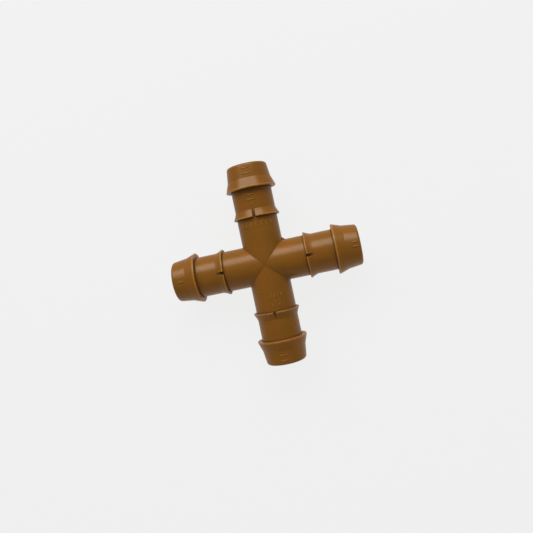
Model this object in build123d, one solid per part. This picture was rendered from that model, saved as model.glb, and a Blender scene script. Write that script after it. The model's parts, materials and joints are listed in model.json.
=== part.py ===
from build123d import *
from math import atan2, cos, hypot, radians, sin, tan
import os

# Cross fitting for a soft pipe: four barbed arms in one plane around a hollow hub.
# The real object is one moulding.  Each solid here is one working zone of it, and the
# zones meet face to face at the creases of the moulding.
# The origin is where the two water ways cross, +X runs along the east arm, +Y along the
# north arm and +Z out of the plane of the cross.  All sizes are in millimetres.

# Stems, hub and water way.
STEM_R = 7.0           # outside of every stem and of the hub
BORE_R = 5.5           # the same in all four arms
HUB_HALF = 8.5         # the hub zone ends this far from the crossing
LONG_ARM = 34.8        # north and south arms, from the crossing to the mouth
SHORT_ARM = 32.7       # east and west arms

# End barb, the large one at each mouth.
END_LENGTH = 8.6       # from its lip to the mouth
END_CREST_R = 8.66
END_LAND = 0.4         # narrow cylindrical rim at the lip
END_KNEE = 3.55        # from the lip to where its steep cone meets its shallow one
END_KNEE_R = 7.55
NOSE_R = 6.9           # where the shallow cone would reach the mouth
NOSE_ROUNDING = 0.95
MOUTH_CHAMFER = 0.25   # on the edge of the water way

# Grip barb, the small one behind it.
GRIP_SETBACK = 18.4    # from the mouth back to its lip
GRIP_LENGTH = 2.7
GRIP_CREST_R = 8.0
GRIP_LAND = 0.35
FLARE_START = 14       # degrees between the stem and the hollow flare, where they meet
SLOT_WIDTH = 1.05      # notch through its rim, on the front and on the back

# Gate vestige, the trimmed web in the corner between the north and east arms.
VESTIGE_REACH = 1.05
VESTIGE_HEIGHT = 1.6
VESTIGE_ROOT = 0.5     # how far its blank starts inside the stems, before they are cut away

# Raised marks.
RELIEF = 0.2           # how far they stand out
STROKE = 0.4           # width of a bar or a band
BAR_LENGTH = 1.6       # a bar runs along its arm
SHORT_BAR_LENGTH = 1.1
SIZE_BAR_LENGTH = 2.0
BAND_LENGTH = 2.6      # a band runs round its arm
DOT_R = 0.3
BLANK_HEIGHT = 3.0     # height of a mark's blank, before it is cut to its relief

# Places of the marks: distances from the crossing or back from the mouth, and turns about
# the arm in degrees, counted from the front towards the left as seen looking outwards.
SIZE_BAND_SETBACKS = (1.7, 3.6)
SIZE_BAR_SETBACK = {"east": 2.0, "west": 3.3}
SIZE_BAR_TURNS = {"east": (-2, 10), "west": (-11, 1)}
CAVITY_BANDS_AT = (22.4, 24.0)
CAVITY_DOT_AT = 20.75
NORTH_ROW_AT = 13.8
NORTH_ROW_TURNS = range(-42, 43, 14)
SOUTH_ROW_AT = 10.9
SOUTH_ROW_TURNS = range(-9, 28, 9)
SOUTH_PAIR_AT = 14.3
SOUTH_PAIR_TURNS = (0, 18)

ARMS = {
    "east": (0, SHORT_ARM),
    "north": (90, LONG_ARM),
    "west": (180, SHORT_ARM),
    "south": (270, LONG_ARM),
}


def grip_lip(mouth):
    return mouth - GRIP_SETBACK


def grip_end(mouth):
    return grip_lip(mouth) + GRIP_LENGTH


def end_lip(mouth):
    return mouth - END_LENGTH


def turned(outline):
    """Revolve a closed half section about X, the axis of an arm."""
    return revolve(make_face(outline), axis=Axis.X)


def tube(start, stop, inner=BORE_R, outer=STEM_R):
    corners = [(start, inner), (start, outer), (stop, outer), (stop, inner)]
    return turned(Polyline(*corners, close=True))


def flare_arc(crest, foot):
    """The hollow arc from a crest down to its foot, where it leaves at FLARE_START."""
    run, rise = foot[0] - crest[0], crest[1] - foot[1]
    fall = atan2(rise, run)
    sag = hypot(run, rise) / 2 * tan((fall - radians(FLARE_START)) / 2)
    middle_x, middle_r = (crest[0] + foot[0]) / 2, (crest[1] + foot[1]) / 2
    return ThreePointArc(crest, (middle_x - sag * sin(fall), middle_r - sag * cos(fall)), foot)


def grip_barb(mouth):
    """The wall of the arm with a lip that faces the hub and a hollow flare behind it."""
    lip, stop = grip_lip(mouth), grip_end(mouth)
    crest, foot = (lip + GRIP_LAND, GRIP_CREST_R), (stop, STEM_R)
    flare = flare_arc(crest, foot)
    rest = Polyline(foot, (stop, BORE_R), (lip, BORE_R), (lip, GRIP_CREST_R), crest)
    notch = Box(GRIP_LENGTH, SLOT_WIDTH, 2 * GRIP_CREST_R + 1)
    notch -= Cylinder(STEM_R, GRIP_LENGTH, rotation=(0, 90, 0))
    return turned(flare + rest) - Pos((lip + stop) / 2, 0, 0) * notch


def nose_slope():
    return (END_KNEE_R - NOSE_R) / (END_LENGTH - END_KNEE)


def end_barb(mouth):
    """The wall of the arm with a lip, a rim, a steep cone, a shallow one and a round nose."""
    lip, round_x = end_lip(mouth), mouth - NOSE_ROUNDING
    round_r = NOSE_R + nose_slope() * NOSE_ROUNDING
    turn = radians(45)
    on_nose = (round_x + NOSE_ROUNDING * sin(turn), round_r - NOSE_ROUNDING * (1 - cos(turn)))
    tip = (mouth, round_r - NOSE_ROUNDING)
    cones = Polyline(
        (lip, END_CREST_R),
        (lip + END_LAND, END_CREST_R),
        (lip + END_KNEE, END_KNEE_R),
        (round_x, round_r),
    )
    nose = ThreePointArc((round_x, round_r), on_nose, tip)
    rest = Polyline(
        tip,
        (mouth, BORE_R + MOUTH_CHAMFER),
        (mouth - MOUTH_CHAMFER, BORE_R),
        (lip, BORE_R),
        (lip, END_CREST_R),
    )
    return turned(cones + nose + rest)


def crossed(radius):
    """Two equal cylinders through the crossing, out to the faces of the hub zone."""
    bar = Cylinder(radius, 2 * HUB_HALF, rotation=(0, 90, 0))
    return bar + Rot(0, 0, 90) * bar


def hub():
    return crossed(STEM_R) - crossed(BORE_R)


def gate_vestige():
    root, reach = STEM_R - VESTIGE_ROOT, STEM_R + VESTIGE_REACH
    corners = [(root, root), (reach, root), (reach, STEM_R), (STEM_R, reach), (root, reach)]
    blank = extrude(make_face(Polyline(*corners, close=True)), VESTIGE_HEIGHT / 2, both=True)
    return blank - crossed(STEM_R)


def stem_skin():
    """The layer just outside a stem that its raised marks are cut from."""
    return tube(HUB_HALF, LONG_ARM, STEM_R, STEM_R + RELIEF)


def nose_skin(mouth):
    """The same layer outside the shallow cone of an end barb."""
    start, stop = end_lip(mouth) + END_KNEE, mouth - NOSE_ROUNDING
    low = NOSE_R + nose_slope() * NOSE_ROUNDING
    corners = [(start, END_KNEE_R), (stop, low), (stop, low + RELIEF), (start, END_KNEE_R + RELIEF)]
    return turned(Polyline(*corners, close=True))


def raised(skin, at, turn, footprint):
    """A mark on an arm, at this place along it and turned this far from the front."""
    return (Rot(-turn, 0, 0) * Pos(at, 0, STEM_R) * footprint) & skin


def bar(length=BAR_LENGTH):
    return Box(length, STROKE, BLANK_HEIGHT)


def band():
    return Box(STROKE, BAND_LENGTH, BLANK_HEIGHT)


def dot():
    return Cylinder(DOT_R, BLANK_HEIGHT)


def size_mark(name, mouth):
    """Two plain strokes on the nose of an end barb, where the pipe's size is moulded."""
    skin = nose_skin(mouth)
    if name not in SIZE_BAR_SETBACK:
        return [raised(skin, mouth - setback, 0, band()) for setback in SIZE_BAND_SETBACKS]
    at, stroke = mouth - SIZE_BAR_SETBACK[name], bar(SIZE_BAR_LENGTH)
    return [raised(skin, at, turn, stroke) for turn in SIZE_BAR_TURNS[name]]


def stem_marks():
    """Plain marks where a stem is lettered: name of the node, its arm and its solids."""
    skin = stem_skin()
    cavity = [raised(skin, at, 0, band()) for at in CAVITY_BANDS_AT]
    cavity += [raised(skin, CAVITY_DOT_AT, 0, dot())]
    north = [raised(skin, NORTH_ROW_AT, turn, bar()) for turn in NORTH_ROW_TURNS]
    south = [raised(skin, SOUTH_ROW_AT, turn, bar()) for turn in SOUTH_ROW_TURNS]
    pair = bar(SHORT_BAR_LENGTH)
    south += [raised(skin, SOUTH_PAIR_AT, turn, pair) for turn in SOUTH_PAIR_TURNS]
    return [
        ("cavity_mark", "north", cavity),
        ("mark_row_north", "north", north),
        ("mark_row_south", "south", south),
    ]


def write(node, heading, solids):
    """Turn the solids of an arm to their heading and store them as one node."""
    placed = [solid for item in solids for solid in (Rot(0, 0, heading) * item).solids()]
    whole = placed[0] if len(placed) == 1 else Compound(children=placed)
    export_step(whole, f"parts/{node}.step")


def main():
    os.makedirs("parts", exist_ok=True)
    write("hub", 0, [hub()])
    write("gate_vestige", 0, [gate_vestige()])
    for name, (heading, mouth) in ARMS.items():
        write(f"inner_stem_{name}", heading, [tube(HUB_HALF, grip_lip(mouth))])
        write(f"grip_barb_{name}", heading, [grip_barb(mouth)])
        write(f"outer_stem_{name}", heading, [tube(grip_end(mouth), end_lip(mouth))])
        write(f"end_barb_{name}", heading, [end_barb(mouth)])
        write(f"size_mark_{name}", heading, size_mark(name, mouth))
    for node, name, solids in stem_marks():
        write(node, ARMS[name][0], solids)


main()
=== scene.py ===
import json
from math import acos, asin, atan2, ceil, cos, degrees, exp, hypot, pi, radians, sin, sqrt, tan

import bmesh
import bpy
from mathutils import Matrix, Vector, noise


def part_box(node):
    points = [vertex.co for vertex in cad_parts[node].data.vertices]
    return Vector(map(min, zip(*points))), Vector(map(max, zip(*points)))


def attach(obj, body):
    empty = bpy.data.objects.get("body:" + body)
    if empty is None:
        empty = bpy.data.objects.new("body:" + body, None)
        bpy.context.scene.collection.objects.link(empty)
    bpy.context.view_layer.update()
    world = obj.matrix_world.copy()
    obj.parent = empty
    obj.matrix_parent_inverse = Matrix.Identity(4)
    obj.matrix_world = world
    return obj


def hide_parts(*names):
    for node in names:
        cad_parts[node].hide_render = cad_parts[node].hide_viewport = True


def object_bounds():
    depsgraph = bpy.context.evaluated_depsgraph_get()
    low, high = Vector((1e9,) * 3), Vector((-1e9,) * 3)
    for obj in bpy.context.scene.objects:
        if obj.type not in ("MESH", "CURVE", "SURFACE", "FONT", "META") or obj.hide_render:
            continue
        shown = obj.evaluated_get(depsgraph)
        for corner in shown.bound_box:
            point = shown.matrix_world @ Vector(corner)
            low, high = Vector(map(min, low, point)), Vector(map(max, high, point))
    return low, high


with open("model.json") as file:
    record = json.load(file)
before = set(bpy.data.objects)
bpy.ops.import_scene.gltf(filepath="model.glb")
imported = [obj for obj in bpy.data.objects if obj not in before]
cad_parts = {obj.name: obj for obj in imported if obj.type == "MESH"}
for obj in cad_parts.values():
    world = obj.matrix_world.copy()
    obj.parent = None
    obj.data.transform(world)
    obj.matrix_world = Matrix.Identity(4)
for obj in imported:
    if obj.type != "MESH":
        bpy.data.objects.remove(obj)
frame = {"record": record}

# The cross fitting: every zone of the moulding is rebuilt as a fine mesh with rounded lips,
# soft seams and moulded marks, in the place of its plain CAD node.
# Lengths are in millimetres until a mesh is made, and then in metres.

MM = 0.001
cad_low, cad_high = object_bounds()

HEADINGS = {"east": 0, "north": 90, "west": 180, "south": 270}


def along(node, heading):
    """Nearest and furthest distance of a CAD node from the crossing, along a heading."""
    low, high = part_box(node)
    way = Vector((cos(radians(heading)), sin(radians(heading)), 0))
    ends = sorted((low.dot(way) / MM, high.dot(way) / MM))
    return ends[0], ends[1]


def crest(node):
    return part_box(node)[1].z / MM


def bore_radius():
    mounts = {mount["name"]: mount for mount in frame["record"]["mounts"]}
    return mounts["waterway_north_south"]["dims"]["r_mm"]


# Sizes that the frame gives.
STEM_R = crest("hub")
HUB_HALF = along("hub", 0)[1]
BORE_R = bore_radius()
GRIP_CREST_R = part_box("grip_barb_north")[1].x / MM
END_CREST_R = crest("end_barb_north")
SLOT_WIDTH = 1.05

# Profile of the end barb.
END_LAND = 0.4
END_KNEE = 3.55
END_KNEE_R = 7.55
NOSE_R = 6.9
NOSE_ROUNDING = 0.95
MOUTH_CHAMFER = 0.25

# Profile of the grip barb.
GRIP_LAND = 0.35
FLARE_START = radians(14)
FLARE_STEPS = 14

# Roundings that the mould leaves.
LIP_ROOT = 0.16        # in the corner between a stem and a lip; a barb's zone starts there
ROOT_ROUNDING = LIP_ROOT * 0.98   # a little less, so that the arc ends inside its zone
CREST_EDGE = 0.14      # on both edges of a rim
KNEE_SOFTEN = 0.5
MOUTH_EDGE = 0.06
HUB_BLEND = 0.42       # reach of the blend along the outer seams of the hub
BORE_BLEND = 0.16

# Parting line along the sides of every arm.
PARTING_HEIGHT = 0.035
PARTING_WIDTH = 0.07

# Mesh fineness.
TURN_STEPS = 192
ARC_STEPS = 7
RUN_STEP = 0.9
RUN_GRADES = (0.05, 0.14, 0.26, 0.42, 0.64)   # first steps of a straight run, from both its ends
RUN_END_SHARE = 0.45   # of a straight run's length, the most that the steps at one end take
PARTING_TURNS = (-0.9, -0.6, -0.3, 0.3, 0.6, 0.9)   # degrees, beside the parting line
SMOOTH_ANGLE = radians(38)
MERGE_DISTANCE = 2e-7   # metres; a wider one leaves edges that aren't manifold in the notches


# Columns: where the mesh has a line of vertices along an arm, the same for every zone,
# so that neighbours meet vertex to vertex.
def plain_turns():
    """Even turns about the arm, from its left side, with extra ones along the parting line."""
    step = 360 / TURN_STEPS
    even = [i * step for i in range(TURN_STEPS)]
    extra = [(side + turn) % 360 for side in (0, 180) for turn in PARTING_TURNS]
    return sorted(even + extra)


# Across the notch of the grip barb: distance from its middle, and the share of the barb's
# height above the stem that is left there.
NOTCH_HALF = SLOT_WIDTH / 2
NOTCH_CLEARANCE = 0.1   # at least, from the outermost of these columns to the next even one
NOTCH_PROFILE = [
    (NOTCH_HALF + 0.20, 1.0),
    (NOTCH_HALF + 0.10, 1.0),
    (NOTCH_HALF + 0.06, 0.985),
    (NOTCH_HALF + 0.02, 0.94),
    (NOTCH_HALF, 0.87),
    (NOTCH_HALF, 0.60),
    (NOTCH_HALF, 0.35),
    (NOTCH_HALF, 0.13),
    (NOTCH_HALF - 0.02, 0.06),
    (NOTCH_HALF - 0.06, 0.015),
    (NOTCH_HALF - 0.11, 0.0),
    (NOTCH_HALF * 0.4, 0.0),
]


def notch_columns(side):
    """Columns through the notch on the front (side 1) or the back (side -1)."""
    half = [(side, offset, share) for offset, share in NOTCH_PROFILE]
    other = [(side, -offset, share) for offset, share in reversed(NOTCH_PROFILE)]
    ordered = half + [(side, 0.0, 0.0)] + other
    return ordered if side > 0 else ordered[::-1]


def all_columns():
    reach = degrees(asin((NOTCH_PROFILE[0][0] + NOTCH_CLEARANCE) / STEM_R))
    turns = plain_turns()
    columns = [turn for turn in turns if turn < 90 - reach]
    columns += notch_columns(1)
    columns += [turn for turn in turns if 90 + reach < turn < 270 - reach]
    columns += notch_columns(-1)
    columns += [turn for turn in turns if turn > 270 + reach]
    return columns


COLUMNS = all_columns()


def parting_ridge(turn, radius):
    """Height of the parting line at this turn: it runs along both sides of an arm."""
    off = min(turn % 180, 180 - turn % 180)
    arc = radians(off) * radius
    return PARTING_HEIGHT * exp(-((arc / PARTING_WIDTH) ** 2))


def ring_point(column, radius, outside, notched=False):
    """Position across the arm (to its left, and up) of a column at this radius."""
    if isinstance(column, tuple):
        side, offset, share = column
        if not (notched and outside) or radius <= STEM_R:
            offset = offset * radius / STEM_R
            return offset, side * sqrt(radius**2 - offset**2)
        left = STEM_R + (radius - STEM_R) * share
        return offset, side * sqrt(left**2 - offset**2)
    if outside:
        radius += parting_ridge(column, radius)
    return radius * cos(radians(column)), radius * sin(radians(column))


# Outlines: closed half sections of a zone as (distance along the arm, radius).
def arc_between(before, corner, after, rounding):
    """Points of the arc that rounds a corner, from one tangent point to the other."""
    back, ahead = (before - corner).normalized(), (after - corner).normalized()
    half = acos(max(-1, min(1, back.dot(ahead)))) / 2
    reach = rounding / tan(half)
    centre = corner + (back + ahead).normalized() * (rounding / sin(half))
    first, last = corner + back * reach - centre, corner + ahead * reach - centre
    sweep = first.angle_signed(last)
    return [centre + Matrix.Rotation(-sweep * i / ARC_STEPS, 2) @ first for i in range(ARC_STEPS + 1)]


def rounded(corners):
    """The points of each corner (x, r, rounding) of an outline, an arc where it is rounded."""
    points = []
    for i, (x, r, rounding) in enumerate(corners):
        corner = Vector((x, r))
        before, after = Vector(corners[i - 1][:2]), Vector(corners[(i + 1) % len(corners)][:2])
        points.append(arc_between(before, corner, after, rounding) if rounding else [corner])
    return points


def run_stops(length):
    """Distances along a straight run, close together near both ends."""
    near = [grade for grade in RUN_GRADES if grade < RUN_END_SHARE * length]
    if not near:
        return []
    inner = length - 2 * near[-1]
    pieces = ceil(inner / RUN_STEP)
    middle = [near[-1] + inner * i / pieces for i in range(1, pieces)]
    return near + middle + [length - grade for grade in reversed(near)]


def with_runs(groups):
    """Join the corners' points with straight runs, and close the outline."""
    outline = []
    for i, group in enumerate(groups):
        outline += group
        start, stop = group[-1], groups[(i + 1) % len(groups)][0]
        length = (stop - start).length
        outline += [start.lerp(stop, distance / length) for distance in run_stops(length)]
    return outline


def tube_outline(start, stop):
    corners = [(start, BORE_R, 0), (start, STEM_R, 0), (stop, STEM_R, 0), (stop, BORE_R, 0)]
    return with_runs(rounded(corners))


def nose_slope(length):
    return (END_KNEE_R - NOSE_R) / (length - END_KNEE)


def end_outline(lip, mouth):
    """Lip, rim, steep cone, shallow cone, round nose and the edge of the water way."""
    start = lip - LIP_ROOT
    corners = [
        (start, BORE_R, 0),
        (start, STEM_R, 0),
        (lip, STEM_R, ROOT_ROUNDING),
        (lip, END_CREST_R, CREST_EDGE),
        (lip + END_LAND, END_CREST_R, CREST_EDGE),
        (lip + END_KNEE, END_KNEE_R, KNEE_SOFTEN),
        (mouth, NOSE_R, NOSE_ROUNDING),
        (mouth, BORE_R + MOUTH_CHAMFER, MOUTH_EDGE),
        (mouth - MOUTH_CHAMFER, BORE_R, MOUTH_EDGE),
    ]
    return with_runs(rounded(corners))


def flare_points(lip, stop):
    """The hollow flare of a grip barb: an arc down to the stem, steepest at its crest."""
    rise, run = GRIP_CREST_R - STEM_R, stop - lip - GRIP_LAND
    steepest = 2 * atan2(rise, run) - FLARE_START
    radius = hypot(rise, run) / (2 * sin((steepest - FLARE_START) / 2))
    points = []
    for i in range(FLARE_STEPS):
        slope = steepest + (FLARE_START - steepest) * (i + 1) / FLARE_STEPS
        x = stop - radius * (sin(slope) - sin(FLARE_START))
        points.append(Vector((x, STEM_R + radius * (cos(FLARE_START) - cos(slope)))))
    return points


def grip_outline(lip, stop):
    start, flare = lip - LIP_ROOT, flare_points(lip, stop)
    corners = [
        (start, BORE_R, 0),
        (start, STEM_R, 0),
        (lip, STEM_R, ROOT_ROUNDING),
        (lip, GRIP_CREST_R, CREST_EDGE),
        (lip + GRIP_LAND, GRIP_CREST_R, CREST_EDGE),
        (flare[0].x, flare[0].y, 0),
    ]
    groups = rounded(corners) + [flare[1:]] + [[Vector((stop, BORE_R))]]
    return with_runs(groups)


# Painted light and shade: every vertex says how near it is to a rim ("edge"), painted lighter as if lit,
# and to an inner corner ("corner"), painted darker as if shaded.
# Painted light fades out over this distance from a rim.
RIM_LIGHT_REACH = 0.18
# Painted shade fades out over this distance from an inner corner.
CORNER_SHADE_REACH = 0.34
NOTCH_REACH = 0.12


def fade(gap, reach):
    return exp(-((gap / reach) ** 2))


def barb_spots(lip, land, crest_r):
    rims = [Vector((lip, crest_r)), Vector((lip + land, crest_r))]
    return rims, [Vector((lip, STEM_R))]


def arm_spots(name, heading):
    """Rims and inner corners of an arm, as points of its half section."""
    grip_rims, grip_corners = barb_spots(along(f"grip_barb_{name}", heading)[0], GRIP_LAND, GRIP_CREST_R)
    lip, mouth = along(f"end_barb_{name}", heading)
    end_rims, end_corners = barb_spots(lip, END_LAND, END_CREST_R)
    mouth_rim = Vector((mouth, BORE_R + MOUTH_CHAMFER))
    return grip_rims + end_rims + [mouth_rim], grip_corners + end_corners


def light_and_shade_at(point, spots):
    rims, corners = spots
    edge = fade(min((point - rim).length for rim in rims), RIM_LIGHT_REACH)
    corner = fade(min((point - spot).length for spot in corners), CORNER_SHADE_REACH)
    return edge, corner


def notch_light_and_shade(column, radius, painted_light_shade):
    """Painted light and shade of a vertex in a notch: painted light on the edges of its walls, painted
    shade on its floor.
    """
    _, offset, share = column
    depth = sqrt(max(radius - STEM_R, 0) / (GRIP_CREST_R - STEM_R))
    edge = share * fade(abs(offset) - NOTCH_HALF, NOTCH_REACH) * depth
    return max(painted_light_shade[0] * share, edge), max(painted_light_shade[1], (1 - share) * depth)


# Meshes.
def to_world(point, heading):
    return Matrix.Rotation(radians(heading), 4, "Z") @ Vector(point) * MM


def new_bmesh():
    bm = bmesh.new()
    bm.verts.layers.float.new("edge")
    bm.verts.layers.float.new("corner")
    bm.verts.layers.float.new("nose")
    return bm


def add_vertex(bm, position, painted_light_shade=(0, 0)):
    vertex = bm.verts.new(position)
    vertex[bm.verts.layers.float["edge"]] = painted_light_shade[0]
    vertex[bm.verts.layers.float["corner"]] = painted_light_shade[1]
    return vertex


def finish_mesh(name, bm, node):
    """Clean a mesh, shade it, and let it stand for its CAD node."""
    bmesh.ops.remove_doubles(bm, verts=bm.verts, dist=MERGE_DISTANCE)
    bmesh.ops.dissolve_degenerate(bm, edges=bm.edges, dist=MERGE_DISTANCE)
    bmesh.ops.recalc_face_normals(bm, faces=bm.faces)
    mesh = bpy.data.meshes.new(name)
    bm.to_mesh(mesh)
    bm.free()
    mesh.polygons.foreach_set("use_smooth", [True] * len(mesh.polygons))
    mesh.set_sharp_from_angle(angle=SMOOTH_ANGLE)
    piece = bpy.data.objects.new(name, mesh)
    bpy.context.scene.collection.objects.link(piece)
    piece.data.materials.append(plastic)
    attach(piece, "root")
    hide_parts(node)


def grid_faces(bm, rows, closed_rows, closed_columns):
    """Quads between neighbouring rows of vertices."""
    height, width = len(rows), len(rows[0])
    for i in range(height if closed_rows else height - 1):
        upper, lower = rows[i], rows[(i + 1) % height]
        for j in range(width if closed_columns else width - 1):
            k = (j + 1) % width
            bm.faces.new((upper[j], upper[k], lower[k], lower[j]))


def turned_ring(bm, spot, heading, spots, notched):
    """The ring of vertices that one point of an outline sweeps about the arm's axis."""
    x, radius = spot
    outside, painted_light_shade, ring = radius > (STEM_R + BORE_R) / 2, light_and_shade_at(spot, spots), []
    for column in COLUMNS:
        y, z = ring_point(column, radius, outside, notched)
        in_notch = notched and outside and isinstance(column, tuple)
        shade = notch_light_and_shade(column, radius, painted_light_shade) if in_notch else painted_light_shade
        ring.append(add_vertex(bm, to_world((x, y, z), heading), shade))
    return ring


def mark_nose(bm, rows, outline):
    """Store the distance along the arm, which places the tool marks of the end barbs."""
    nose = bm.verts.layers.float["nose"]
    for row, (x, _) in zip(rows, outline):
        for vertex in row:
            vertex[nose] = x


def turned_piece(name, outline, heading, node, spots):
    """Turn a closed outline about an arm's axis, with the notch and the parting line."""
    bm, notched = new_bmesh(), node.startswith("grip_barb")
    rows = [turned_ring(bm, spot, heading, spots, notched) for spot in outline]
    if node.startswith("end_barb"):
        mark_nose(bm, rows, outline)
    grid_faces(bm, rows, True, True)
    finish_mesh(name, bm, node)


# The hub: four mitred tubes whose seams are blended, outside and inside.
LEAST_REACH = 1e-6
SETTLE_STEP = 1e-4
SETTLE_ROUNDS = 4
FLATTEST_SLOPE = 1e-9
SEAM_ROWS = [0, 0.1, 0.2, 0.3, 0.42, 0.56, 0.72, 0.9, 1.1, 1.4]   # shares of the blend's reach
SEAM_TOP_SHARE = 0.15    # of those distances, what is left where the seams cross
SEAM_SIDE_SHARE = 0.85   # and what comes back towards the sides of the arm
SEAM_SHADE = 0.35
SEAM_REACH = 0.3
HUB_ROWS = 8


def blended_distance(point, radius, blend):
    """Distance outside two crossing cylinders, with the corner between them filled."""
    x, y, z = point
    first, second = hypot(y, z) - radius, hypot(x, z) - radius
    reach = max(blend * (1 - (z / radius) ** 2), LEAST_REACH)
    overlap = max(reach - abs(first - second), 0) / reach
    return min(first, second) - reach * overlap**2 / 4


def settle(point, radius, blend):
    """Move a point onto the blended surface, along the slope of its distance."""
    for _ in range(SETTLE_ROUNDS):
        here = blended_distance(point, radius, blend)
        slope = Vector([
            blended_distance(point + Vector(unit) * SETTLE_STEP, radius, blend) - here
            for unit in ((1, 0, 0), (0, 1, 0), (0, 0, 1))
        ]) / SETTLE_STEP
        point = point - slope * (here / max(slope.length_squared, FLATTEST_SLOPE))
    return point


def hub_rows(column, radius, blend, outside):
    """One column of a hub arm, from the mitre seam out to the face of the zone: each point
    and how much it lies in the seam."""
    y, z = ring_point(column, radius, outside)
    plain_y, plain_z = ring_point(column, radius, False)
    share = SEAM_TOP_SHARE + SEAM_SIDE_SHARE * abs(plain_y) / radius
    seam = abs(plain_y)
    near = [seam + blend * share * row for row in SEAM_ROWS]
    far = [near[-1] + (HUB_HALF - near[-1]) * i / HUB_ROWS for i in range(1, HUB_ROWS + 1)]
    points = []
    for x in near + far:
        point = Vector((x, plain_y, plain_z))
        if x - seam < 2 * blend:
            point = settle(point, radius, blend)
        clear = min(max((x - seam - blend) / blend, 0), 1)
        ridge = Vector((0, y - plain_y, z - plain_z)) * clear
        points.append((point + ridge, SEAM_SHADE * fade(x - seam, SEAM_REACH)))
    return points


def hub_arm(bm, heading, radius, blend, outside):
    """One mitred tube of the hub.  Returns its ring of vertices at the face of the zone."""
    columns = [hub_rows(column, radius, blend, outside) for column in COLUMNS]
    made = [
        [add_vertex(bm, to_world(point, heading), (0, shade)) for point, shade in column]
        for column in columns
    ]
    rows = [list(row) for row in zip(*made)]
    grid_faces(bm, rows, False, True)
    return rows[-1]


def make_hub():
    bm = new_bmesh()
    for heading in HEADINGS.values():
        outer = hub_arm(bm, heading, STEM_R, HUB_BLEND, True)
        inner = hub_arm(bm, heading, BORE_R, BORE_BLEND, False)
        grid_faces(bm, [outer, inner], False, True)
    finish_mesh("Hub", bm, "hub")


# The gate vestige in the corner between the north and east arms.
VESTIGE_REACH = 1.05
VESTIGE_HALF = 0.8
VESTIGE_ROOT = 0.5
VESTIGE_OVERLAP = 1.25   # how far its face runs on into the walls of the stems
VESTIGE_STEPS = 14
VESTIGE_ROUGHNESS = 0.06
VESTIGE_GRAIN = (2.3, 2.9, 4.1)   # of the torn face: across, up, and where its noise is cut
VESTIGE_EDGE_SHARE = 5            # its upper and lower edges round off over a fifth of its half
VESTIGE_EDGE_DEPTH = 0.10
VESTIGE_SLANT = 0.05
# Painted light: the upper and lower edges of the trimmed face are drawn lighter, as if lit.
VESTIGE_EDGE_LIGHT = 0.3


def vestige_front(across, up):
    """A point of the trimmed face: across from -1 to 1 along the cut, up from -1 to 1."""
    middle = STEM_R + VESTIGE_REACH / 2
    edge = min(1, (1 - abs(up)) * VESTIGE_EDGE_SHARE) ** 0.5
    grain_across, grain_up, cut = VESTIGE_GRAIN
    torn = noise.noise(Vector((across * grain_across, up * grain_up, cut))) * VESTIGE_ROUGHNESS
    depth = -VESTIGE_EDGE_DEPTH * (1 - edge) + torn + VESTIGE_SLANT * across
    x = middle + across * VESTIGE_REACH / 2 + depth
    y = middle - across * VESTIGE_REACH / 2 + depth
    return Vector((x, y, up * VESTIGE_HALF))


def vestige_back(point):
    """The same point drawn back inside the walls of both stems."""
    inside = STEM_R - VESTIGE_ROOT
    return Vector((min(point.x, inside), min(point.y, inside), point.z))


def make_vestige():
    bm = new_bmesh()
    spots = [2 * i / VESTIGE_STEPS - 1 for i in range(VESTIGE_STEPS + 1)]
    front, back = [], []
    for up in spots:
        line = [vestige_front(across * VESTIGE_OVERLAP, up) for across in spots]
        front.append([add_vertex(bm, point * MM, (VESTIGE_EDGE_LIGHT * up**4, 0)) for point in line])
        back.append([add_vertex(bm, vestige_back(point) * MM) for point in line])
    grid_faces(bm, front, False, False)
    grid_faces(bm, back, False, False)
    for end in (0, -1):
        grid_faces(bm, [front[end], back[end]], False, False)
        grid_faces(bm, [[row[end] for row in front], [row[end] for row in back]], False, False)
    finish_mesh("Gate_vestige", bm, "gate_vestige")


# Raised marks: plain strokes and a dot with a rounded top, wrapped on the arm.
RELIEF = 0.2
SUNK = 0.08            # how far a mark reaches into the wall
STROKE = 0.4
MARK_SIDES = 40
MARK_STEPS = 5
MARK_ROUNDING = 0.26   # width that its two rounded sides take up together
MARK_TOP_LIGHT = 0.8        # painted light on the top of a mark, and painted shade in the corner round its foot
MARK_FOOT_SHADE = 0.6
BAR_LENGTH = 1.6
SHORT_BAR_LENGTH = 1.1
SIZE_BAR_LENGTH = 2.0
BAND_LENGTH = 2.6
DOT_WIDTH = 0.6
SIZE_BAND_SETBACKS = (1.7, 3.6)
SIZE_BAR_SETBACK = {"east": 2.0, "west": 3.3}
SIZE_BAR_TURNS = {"east": (-2, 10), "west": (-11, 1)}
CAVITY_BANDS_AT = (22.4, 24.0)
CAVITY_DOT_AT = 20.75
NORTH_ROW_AT = 13.8
NORTH_ROW_TURNS = range(-42, 43, 14)
SOUTH_ROW_AT = 10.9
SOUTH_ROW_TURNS = range(-9, 28, 9)
SOUTH_PAIR_AT = 14.3
SOUTH_PAIR_TURNS = (0, 18)


def mark_profile(width):
    """Steps from the middle of a stroke outwards and down: share of its half width, height,
    and painted light and shade."""
    flat = max(0.0, 1 - MARK_ROUNDING / width)
    steps = [(flat * i / 2, RELIEF, (MARK_TOP_LIGHT, 0)) for i in range(3)]
    for i in range(1, MARK_STEPS + 1):
        turn = radians(90 * i / MARK_STEPS)
        share, height = flat + (1 - flat) * sin(turn), RELIEF * cos(turn)
        steps.append((share, height, (MARK_TOP_LIGHT * cos(turn), MARK_FOOT_SHADE * sin(turn))))
    return steps + [(1.0, -SUNK, (0, MARK_FOOT_SHADE))]


def stadium_ring(length, width, share):
    """Points round a stroke at this share of its half width."""
    half, radius = max(length - width, 0) / 2, width / 2 * share
    ring = []
    for i in range(MARK_SIDES):
        turn = 2 * pi * (i + 0.5) / MARK_SIDES
        shift = half if cos(turn) > 0 else -half
        ring.append((shift + radius * cos(turn), radius * sin(turn)))
    return ring


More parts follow.
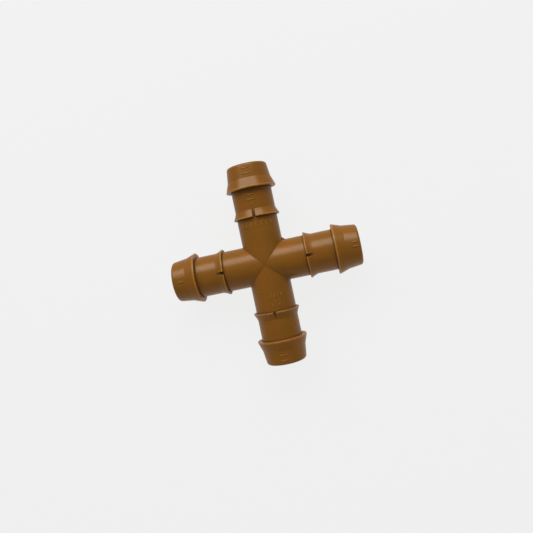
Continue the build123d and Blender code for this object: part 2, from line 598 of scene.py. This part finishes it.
def add_mark(bm, arm, at, turn, length, width=STROKE, round_arm=False):
    """One stroke at this place and turn; a stroke runs along its arm, or round it."""
    heading, surface = arm
    rows = []
    for share, height, painted_light_shade in mark_profile(width):
        row = []
        for u, v in stadium_ring(length, width, share):
            if round_arm:
                u, v = v, u
            radius = surface(at + u)
            angle, reach = radians(turn) + v / radius, radius + height
            point = (at + u, reach * sin(angle), reach * cos(angle))
            row.append(add_vertex(bm, to_world(point, heading), painted_light_shade))
        rows.append(row)
    grid_faces(bm, rows, False, True)
    bm.faces.new(rows[-1])


def nose_surface(lip, mouth):
    """Radius of the shallow cone of an end barb, at a distance along its arm."""
    slope = nose_slope(mouth - lip)
    return lambda at: END_KNEE_R - slope * (at - lip - END_KNEE)


def make_size_mark(name, heading, lip, mouth):
    bm, arm = new_bmesh(), (heading, nose_surface(lip, mouth))
    if name in SIZE_BAR_SETBACK:
        for turn in SIZE_BAR_TURNS[name]:
            add_mark(bm, arm, mouth - SIZE_BAR_SETBACK[name], turn, SIZE_BAR_LENGTH)
    else:
        for setback in SIZE_BAND_SETBACKS:
            add_mark(bm, arm, mouth - setback, 0, BAND_LENGTH, round_arm=True)
    finish_mesh(f"Size_mark_{name}", bm, f"size_mark_{name}")


def make_cavity_mark():
    bm, arm = new_bmesh(), (HEADINGS["north"], lambda at: STEM_R)
    for at in CAVITY_BANDS_AT:
        add_mark(bm, arm, at, 0, BAND_LENGTH, round_arm=True)
    add_mark(bm, arm, CAVITY_DOT_AT, 0, DOT_WIDTH, DOT_WIDTH)
    finish_mesh("Cavity_mark", bm, "cavity_mark")


def make_mark_row(name, rows):
    """Rows of strokes on an inner stem: each row has a place, its turns and a length."""
    bm, arm = new_bmesh(), (HEADINGS[name], lambda at: STEM_R)
    for at, turns, length in rows:
        for turn in turns:
            add_mark(bm, arm, at, turn, length)
    finish_mesh(f"Mark_row_{name}", bm, f"mark_row_{name}")


def make_arm(name, heading):
    """All the turned zones of an arm, each in the place of its CAD node."""
    grip_start, grip_stop = along(f"grip_barb_{name}", heading)
    lip, mouth = along(f"end_barb_{name}", heading)
    zones = {
        "inner_stem": tube_outline(HUB_HALF, grip_start - LIP_ROOT),
        "grip_barb": grip_outline(grip_start, grip_stop),
        "outer_stem": tube_outline(grip_stop, lip - LIP_ROOT),
        "end_barb": end_outline(lip, mouth),
    }
    spots = arm_spots(name, heading)
    for zone, outline in zones.items():
        turned_piece(f"{zone.capitalize()}_{name}", outline, heading, f"{zone}_{name}", spots)
    make_size_mark(name, heading, lip, mouth)


# Material: brown moulded plastic, a little mottled, with painted light that makes its rims lighter and
# painted shade that makes its corners darker.
BROWN = (0.315, 0.115, 0.0115, 1)
OLIVE_BROWN = (0.275, 0.111, 0.0095, 1)
# Painted light: rims and crests are drawn lighter and more orange, as if lit through the thin plastic.
RIM_LIGHT_ORANGE = (0.53, 0.225, 0.04, 1)
# Painted shade: inner corners, hub seams and notch floors are drawn darker, as if shaded.
CORNER_SHADE_BROWN = (0.05, 0.017, 0.002, 1)
WARM_GLOSS = (1.0, 0.84, 0.68, 1)
PLASTIC_IOR = 1.5
ROUGHNESS = (0.26, 0.34)
CORNER_DULLING = 0.4
SPECKLE_ON_RIM_LIGHT = (0.75, 1.0)     # share of the painted rim light and corner shade that the speckle leaves
SPECKLE_IN_CORNER_SHADE = (0.9, 0.7)

# Scales of the noises, in waves per metre, or per millimetre for the rings.
MOTTLE_SCALE = 160
WAVE_SCALE = 420
SKIN_SCALE = 900
SPECKLE_SCALE = 2200
GRAIN_SCALE = 5000
RING_SCALE = 4.5

# Depths of the bumps, in metres.
WAVE_DEPTH = 2.5e-5
GRAIN_DEPTH = 1.5e-6
RING_DEPTH = 8e-6


def add_node(tree, kind, inputs=None, **settings):
    """A shader node with these settings, and inputs that are values or sockets to link."""
    node = tree.nodes.new(kind)
    for name, value in settings.items():
        setattr(node, name, value)
    for name, value in (inputs or {}).items():
        if isinstance(value, bpy.types.NodeSocket):
            tree.links.new(value, node.inputs[name])
        else:
            node.inputs[name].default_value = value
    return node


def add_noise(tree, place, scale, detail, roughness=0.5):
    inputs = {"Vector": place, "Scale": scale, "Detail": detail, "Roughness": roughness}
    return add_node(tree, "ShaderNodeTexNoise", inputs).outputs["Fac"]


def add_attribute(tree, name):
    return add_node(tree, "ShaderNodeAttribute", attribute_name=name).outputs["Fac"]


def add_range(tree, value, low, high, to_low, to_high):
    inputs = {"Value": value, "From Min": low, "From Max": high, "To Min": to_low, "To Max": to_high}
    return add_node(tree, "ShaderNodeMapRange", inputs).outputs["Result"]


def add_mix(tree, factor, first, second):
    node = add_node(tree, "ShaderNodeMix", data_type="RGBA")
    tree.links.new(factor, node.inputs["Factor"])
    for socket, value in ((node.inputs[6], first), (node.inputs[7], second)):
        if isinstance(value, bpy.types.NodeSocket):
            tree.links.new(value, socket)
        else:
            socket.default_value = value
    return node.outputs[2]


def add_product(tree, first, second):
    return add_node(tree, "ShaderNodeMath", {0: first, 1: second}, operation="MULTIPLY").outputs[0]


def add_bump(tree, height, distance, strength, normal=None):
    inputs = {"Height": height, "Distance": distance, "Strength": strength}
    if normal:
        inputs["Normal"] = normal
    return add_node(tree, "ShaderNodeBump", inputs).outputs["Normal"]


def plastic_colour(tree, place):
    """Mottled brown, with rims painted lighter as if lit and corners painted darker as if shaded, which a
    fine noise breaks up.
    """
    mottle = add_range(tree, add_noise(tree, place, MOTTLE_SCALE, 3), 0.35, 0.65, 0, 1)
    body = add_mix(tree, mottle, BROWN, OLIVE_BROWN)
    speckle = add_noise(tree, place, SPECKLE_SCALE, 4, 0.6)
    edge = add_attribute(tree, "edge")
    corner = add_attribute(tree, "corner")
    # Painted light on the rims, broken up by the speckle.
    rim_light = add_product(tree, edge, add_range(tree, speckle, 0.3, 0.7, *SPECKLE_ON_RIM_LIGHT))
    # Painted shade in the corners, broken up by the speckle.
    corner_shade = add_product(tree, corner, add_range(tree, speckle, 0.3, 0.7, *SPECKLE_IN_CORNER_SHADE))
    return add_mix(tree, corner_shade, add_mix(tree, rim_light, body, RIM_LIGHT_ORANGE), CORNER_SHADE_BROWN)


def plastic_bump(tree, place):
    """Slight waviness of the moulded skin, a fine grain, and tool marks round the end barbs."""
    waves = add_bump(tree, add_noise(tree, place, WAVE_SCALE, 2), WAVE_DEPTH, 0.5)
    grain = add_bump(tree, add_noise(tree, place, GRAIN_SCALE, 1), GRAIN_DEPTH, 0.4, waves)
    inputs = {"W": add_attribute(tree, "nose"), "Scale": RING_SCALE, "Detail": 2}
    rings = add_node(tree, "ShaderNodeTexNoise", inputs, noise_dimensions="1D").outputs["Fac"]
    return add_bump(tree, rings, RING_DEPTH, 0.5, grain)


def new_plastic():
    material = bpy.data.materials.new("Brown_moulded_plastic")
    material.use_nodes = True
    tree = material.node_tree
    place = add_node(tree, "ShaderNodeTexCoord").outputs["Object"]
    shader = tree.nodes["Principled BSDF"]
    skin = add_range(tree, add_noise(tree, place, SKIN_SCALE, 4, 0.6), 0.3, 0.7, *ROUGHNESS)
    dull = add_range(tree, add_attribute(tree, "corner"), 0, 1, 0, CORNER_DULLING)
    rough = add_node(tree, "ShaderNodeMath", {0: skin, 1: dull}, operation="ADD").outputs[0]
    tree.links.new(plastic_colour(tree, place), shader.inputs["Base Color"])
    tree.links.new(rough, shader.inputs["Roughness"])
    tree.links.new(plastic_bump(tree, place), shader.inputs["Normal"])
    shader.inputs["IOR"].default_value = PLASTIC_IOR
    shader.inputs["Specular Tint"].default_value = WARM_GLOSS
    return material


plastic = new_plastic()
make_hub()
make_vestige()
for arm_name, arm_heading in HEADINGS.items():
    make_arm(arm_name, arm_heading)
make_cavity_mark()
make_mark_row("north", [(NORTH_ROW_AT, NORTH_ROW_TURNS, BAR_LENGTH)])
make_mark_row("south", [
    (SOUTH_ROW_AT, SOUTH_ROW_TURNS, BAR_LENGTH),
    (SOUTH_PAIR_AT, SOUTH_PAIR_TURNS, SHORT_BAR_LENGTH),
])


# Camera: above the crossing, a little to one side, turned against the arms.
VIEW_DISTANCE = 0.1819
VIEW_ROLL = radians(12.02)
VIEW_LEAN = radians(-5.62)
VIEW_TILT = radians(2.22)
LENS = 35.18
SENSOR_WIDTH = 36
SHIFT_X, SHIFT_Y = -0.0003, -0.0056
CLIP_START = 0.01

camera_data = bpy.data.cameras.new("Camera")
camera_data.lens, camera_data.sensor_width = LENS, SENSOR_WIDTH
camera_data.shift_x, camera_data.shift_y = SHIFT_X, SHIFT_Y
camera_data.clip_start = CLIP_START
camera = bpy.data.objects.new("Camera", camera_data)
roll_and_lean = Matrix.Rotation(-VIEW_ROLL, 4, "Z") @ Matrix.Rotation(-VIEW_LEAN, 4, "Y")
turn = roll_and_lean @ Matrix.Rotation(-VIEW_TILT, 4, "X")
camera.matrix_world = turn @ Matrix.Translation((0, 0, VIEW_DISTANCE))
bpy.context.scene.collection.objects.link(camera)
bpy.context.scene.camera = camera

# Stage: a pale floor, a backdrop that carries it on and up all round, and soft light.
FLOOR_RADIUS = 0.30
FLOOR_GLOW = 0.825
FLOOR_ALBEDO = 0.08
BACKDROP_GLOW = 0.885   # next to the floor
BACKDROP_TOP_GLOW = 0.72
COVE_START = 0.45
COVE_RADIUS = 0.30
COVE_STEPS = 20
BACKDROP_HEIGHT = 0.75
STAGE_SIDES = 96


def glowing_paper(name, albedo, glow):
    material = bpy.data.materials.new(name)
    material.use_nodes = True
    shader = material.node_tree.nodes["Principled BSDF"]
    shader.inputs["Base Color"].default_value = (albedo, albedo, albedo, 1)
    shader.inputs["Roughness"].default_value = 1.0
    shader.inputs["Specular IOR Level"].default_value = 0.0
    shader.inputs["Emission Color"].default_value = (1, 1, 1, 1)
    shader.inputs["Emission Strength"].default_value = glow
    return material


def make_stage_piece(name, outline, material):
    """Turn an outline of (radius, height, glow) about the upright through the crossing."""
    bm = bmesh.new()
    glow_layer = bm.verts.layers.float.new("glow")
    rows = []
    for radius, z, glow in outline:
        turns = [2 * pi * i / STAGE_SIDES for i in range(STAGE_SIDES)]
        row = [bm.verts.new((radius * cos(a), radius * sin(a), z)) for a in turns]
        for vertex in row:
            vertex[glow_layer] = glow
        rows.append(row)
    grid_faces(bm, rows, False, True)
    bmesh.ops.remove_doubles(bm, verts=bm.verts, dist=MERGE_DISTANCE)
    bmesh.ops.recalc_face_normals(bm, faces=bm.faces)
    mesh = bpy.data.meshes.new(name)
    bm.to_mesh(mesh)
    bm.free()
    mesh.polygons.foreach_set("use_smooth", [True] * len(mesh.polygons))
    mesh.materials.append(material)
    piece = bpy.data.objects.new(name, mesh)
    piece.visible_glossy = False
    bpy.context.scene.collection.objects.link(piece)
    return piece


def make_floor(floor_z):
    outline = [(0, floor_z, 0), (FLOOR_RADIUS, floor_z, 0)]
    make_stage_piece("Floor", outline, glowing_paper("Pale_paper", FLOOR_ALBEDO, FLOOR_GLOW))


def make_backdrop(floor_z):
    """A cove and a wall, a little dimmer towards the top, that only the camera sees."""
    places = [(FLOOR_RADIUS, floor_z)]
    for i in range(COVE_STEPS + 1):
        turn = radians(90 * i / COVE_STEPS)
        places.append((COVE_START + COVE_RADIUS * sin(turn), floor_z + COVE_RADIUS * (1 - cos(turn))))
    places.append((COVE_START + COVE_RADIUS, BACKDROP_HEIGHT))
    dimming = (BACKDROP_TOP_GLOW - BACKDROP_GLOW) / (BACKDROP_HEIGHT - floor_z)
    outline = [(radius, z, BACKDROP_GLOW + dimming * (z - floor_z)) for radius, z in places]
    paper = glowing_paper("Backdrop_paper", 0, 0)
    tree = paper.node_tree
    tree.links.new(add_attribute(tree, "glow"), tree.nodes["Principled BSDF"].inputs["Emission Strength"])
    backdrop = make_stage_piece("Backdrop", outline, paper)
    backdrop.visible_diffuse = False
    backdrop.visible_shadow = False


def make_softbox(name, heading, fall, distance, size, glow):
    """A rectangular light aimed at the crossing, this far down from overhead."""
    data = bpy.data.lights.new(name, "AREA")
    data.shape = "RECTANGLE"
    data.size, data.size_y = size
    data.energy = glow * pi * size[0] * size[1]
    light = bpy.data.objects.new(name, data)
    place = Matrix.Rotation(radians(heading - 90), 4, "Z") @ Matrix.Rotation(radians(-fall), 4, "X")
    light.matrix_world = place @ Matrix.Translation((0, 0, distance))
    light.visible_camera = False
    bpy.context.scene.collection.objects.link(light)
    return light


SKY_WAY = (0, 0.4, 0.92)     # the way along which the surroundings grow dimmer
SKY_RANGE = (0.2, -0.8)      # how far along it they are overhead, and underfoot


def make_world(overhead, underfoot):
    """Dim surroundings, brightest below and in front; the gloss sees them through the floor."""
    world = bpy.data.worlds.new("World")
    bpy.context.scene.world = world
    world.use_nodes = True
    tree = world.node_tree
    background = tree.nodes["Background"]
    background.inputs["Color"].default_value = (1, 1, 1, 1)
    way = add_node(tree, "ShaderNodeTexCoord").outputs["Generated"]
    upwards = add_node(tree, "ShaderNodeVectorMath", {0: way, 1: SKY_WAY}, operation="DOT_PRODUCT")
    strength = add_range(tree, upwards.outputs["Value"], *SKY_RANGE, overhead, underfoot)
    tree.links.new(strength, background.inputs["Strength"])


make_floor(cad_low.z)
make_backdrop(cad_low.z)
make_softbox("Softbox", heading=94, fall=54, distance=0.6, size=(0.86, 0.36), glow=3.7)
fill = make_softbox("Fill_card", heading=268, fall=78, distance=0.6, size=(0.9, 0.24), glow=0.9)
fill.visible_glossy = False
make_world(overhead=0.15, underfoot=0.58)
bpy.context.scene.view_settings.view_transform = "Standard"
